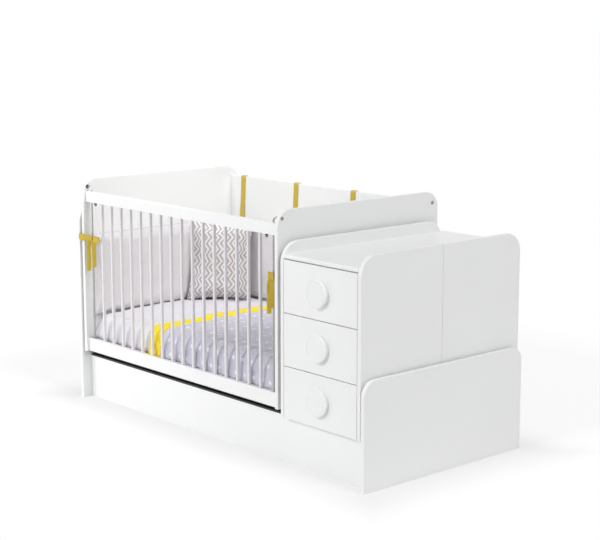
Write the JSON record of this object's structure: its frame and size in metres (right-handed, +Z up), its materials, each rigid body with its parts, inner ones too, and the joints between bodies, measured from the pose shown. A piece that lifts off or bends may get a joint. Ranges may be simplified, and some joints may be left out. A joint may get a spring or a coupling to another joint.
{
  "type": "rocking crib",
  "caption": "White convertible crib that rocks on rollers in a low bed base, with a drop guard and a chest of drawers beside it, dressed with mattress, quilt, bumpers and pillow.",
  "frame": {"origin": "on the floor, under the middle of the whole object's box", "axes": "+X from the headboard towards the footboard and the drawers, +Y from the guard to the rear, +Z up"},
  "size_m": [1.88, 0.923, 1.015],
  "materials": {
    "white_lacquer": "satin",
    "white_laminate": "matte",
    "birch_board": "matte",
    "black_steel": "satin",
    "black_plastic": "matte",
    "bright_steel": "satin",
    "grey_nylon": "satin",
    "dark_plastic": "satin",
    "cap_plastic": "satin",
    "sheet_cloth": "matte",
    "quilt_cloth": "matte",
    "border_cloth": "matte",
    "bumper_cloth": "matte",
    "tie_tape": "matte",
    "pillow_cloth": "matte"
  },
  "bodies": {
    "base": {"headboard": "white_lacquer", "footboard": "white_lacquer", "base_front_rail": "white_lacquer", "base_rear_rail": "white_lacquer", "base_rail_caps": "black_plastic", "base_cross_beams": "birch_board", "roller_brackets": "bright_steel", "roller_axles": "bright_steel", "dresser_left_side": "white_lacquer", "dresser_right_side_front": "white_lacquer", "dresser_right_side_rear": "white_lacquer", "dresser_top": "white_lacquer", "dresser_bottom": "white_laminate", "dresser_partition": "white_laminate", "dresser_back": "white_laminate", "drawer_channels": "bright_steel"},
    "crib": {"crib_left_end": "white_lacquer", "crib_right_end": "white_lacquer", "crib_rear_panel": "white_lacquer", "crib_front_stretcher": "white_lacquer", "deck_bearers": "birch_board", "mattress_deck": "birch_board", "carriage_frame": "black_steel", "rockers": "black_steel", "guard_rods": "bright_steel", "guard_rod_collars": "black_steel", "crib_bolt_caps": "cap_plastic", "mattress": "sheet_cloth", "quilt": "quilt_cloth", "quilt_border": "border_cloth", "bumper_left": "bumper_cloth", "bumper_rear": "bumper_cloth", "bumper_right": "bumper_cloth", "bumper_straps": "tie_tape", "bumper_bows": "tie_tape", "pillow": "pillow_cloth"},
    "guard": {"guard_top_rail": "white_lacquer", "guard_bottom_rail": "white_lacquer", "guard_slats": "white_lacquer"},
    "catch_left": {"guard_catch_left": "dark_plastic"},
    "catch_right": {"guard_catch_right": "dark_plastic"},
    "roller_front_left": {"roller_front_left": "grey_nylon"},
    "roller_rear_left": {"roller_rear_left": "grey_nylon"},
    "roller_front_right": {"roller_front_right": "grey_nylon"},
    "roller_rear_right": {"roller_rear_right": "grey_nylon"},
    "drawer_bottom": {"drawer_bottom_front": "white_lacquer", "drawer_bottom_box": "white_laminate", "drawer_bottom_base": "white_laminate", "drawer_bottom_slides": "bright_steel", "drawer_bottom_knob": "white_lacquer"},
    "drawer_middle": {"drawer_middle_front": "white_lacquer", "drawer_middle_box": "white_laminate", "drawer_middle_base": "white_laminate", "drawer_middle_slides": "bright_steel", "drawer_middle_knob": "white_lacquer"},
    "drawer_top": {"drawer_top_front": "white_lacquer", "drawer_top_box": "white_laminate", "drawer_top_base": "white_laminate", "drawer_top_slides": "bright_steel", "drawer_top_knob": "white_lacquer"}
  },
  "joints": [
    {"name": "rock", "type": "hinge", "parent": "base", "child": "crib", "pos_m": [-0.235, 0.0595, 3.171], "axis": [-1, 0, 0], "range_deg": [-1, 1]},
    {"name": "guard_slide", "type": "slide", "parent": "crib", "child": "guard", "axis": [0, 0, -1], "range_m": [0, 0.13]},
    {"name": "catch_left_push", "type": "slide", "parent": "guard", "child": "catch_left", "axis": [0, 0, 1], "range_m": [0, 0.004], "stiffness_N_per_m": 400, "springref_m": -0.004},
    {"name": "catch_right_push", "type": "slide", "parent": "guard", "child": "catch_right", "axis": [0, 0, 1], "range_m": [0, 0.004], "stiffness_N_per_m": 400, "springref_m": -0.004},
    {"name": "roller_front_left_spin", "type": "hinge", "parent": "base", "child": "roller_front_left", "pos_m": [-0.714, -0.1305, 0.15468], "axis": [1, 0, 0], "range_deg": [-140, 140]},
    {"name": "roller_rear_left_spin", "type": "hinge", "parent": "base", "child": "roller_rear_left", "pos_m": [-0.714, 0.2495, 0.15468], "axis": [1, 0, 0], "range_deg": [-140, 140]},
    {"name": "roller_front_right_spin", "type": "hinge", "parent": "base", "child": "roller_front_right", "pos_m": [0.244, -0.1305, 0.15468], "axis": [1, 0, 0], "range_deg": [-140, 140]},
    {"name": "roller_rear_right_spin", "type": "hinge", "parent": "base", "child": "roller_rear_right", "pos_m": [0.244, 0.2495, 0.15468], "axis": [1, 0, 0], "range_deg": [-140, 140]},
    {"name": "drawer_bottom_slide", "type": "slide", "parent": "base", "child": "drawer_bottom", "axis": [0, -1, 0], "range_m": [0, 0.3]},
    {"name": "drawer_middle_slide", "type": "slide", "parent": "base", "child": "drawer_middle", "axis": [0, -1, 0], "range_m": [0, 0.3]},
    {"name": "drawer_top_slide", "type": "slide", "parent": "base", "child": "drawer_top", "axis": [0, -1, 0], "range_m": [0, 0.3]}
  ],
  "couplings": [
    {"joint": "roller_front_left_spin", "follows": "rock", "ratio": 136.36},
    {"joint": "roller_rear_left_spin", "follows": "rock", "ratio": 136.36},
    {"joint": "roller_front_right_spin", "follows": "rock", "ratio": 136.36},
    {"joint": "roller_rear_right_spin", "follows": "rock", "ratio": 136.36}
  ]
}
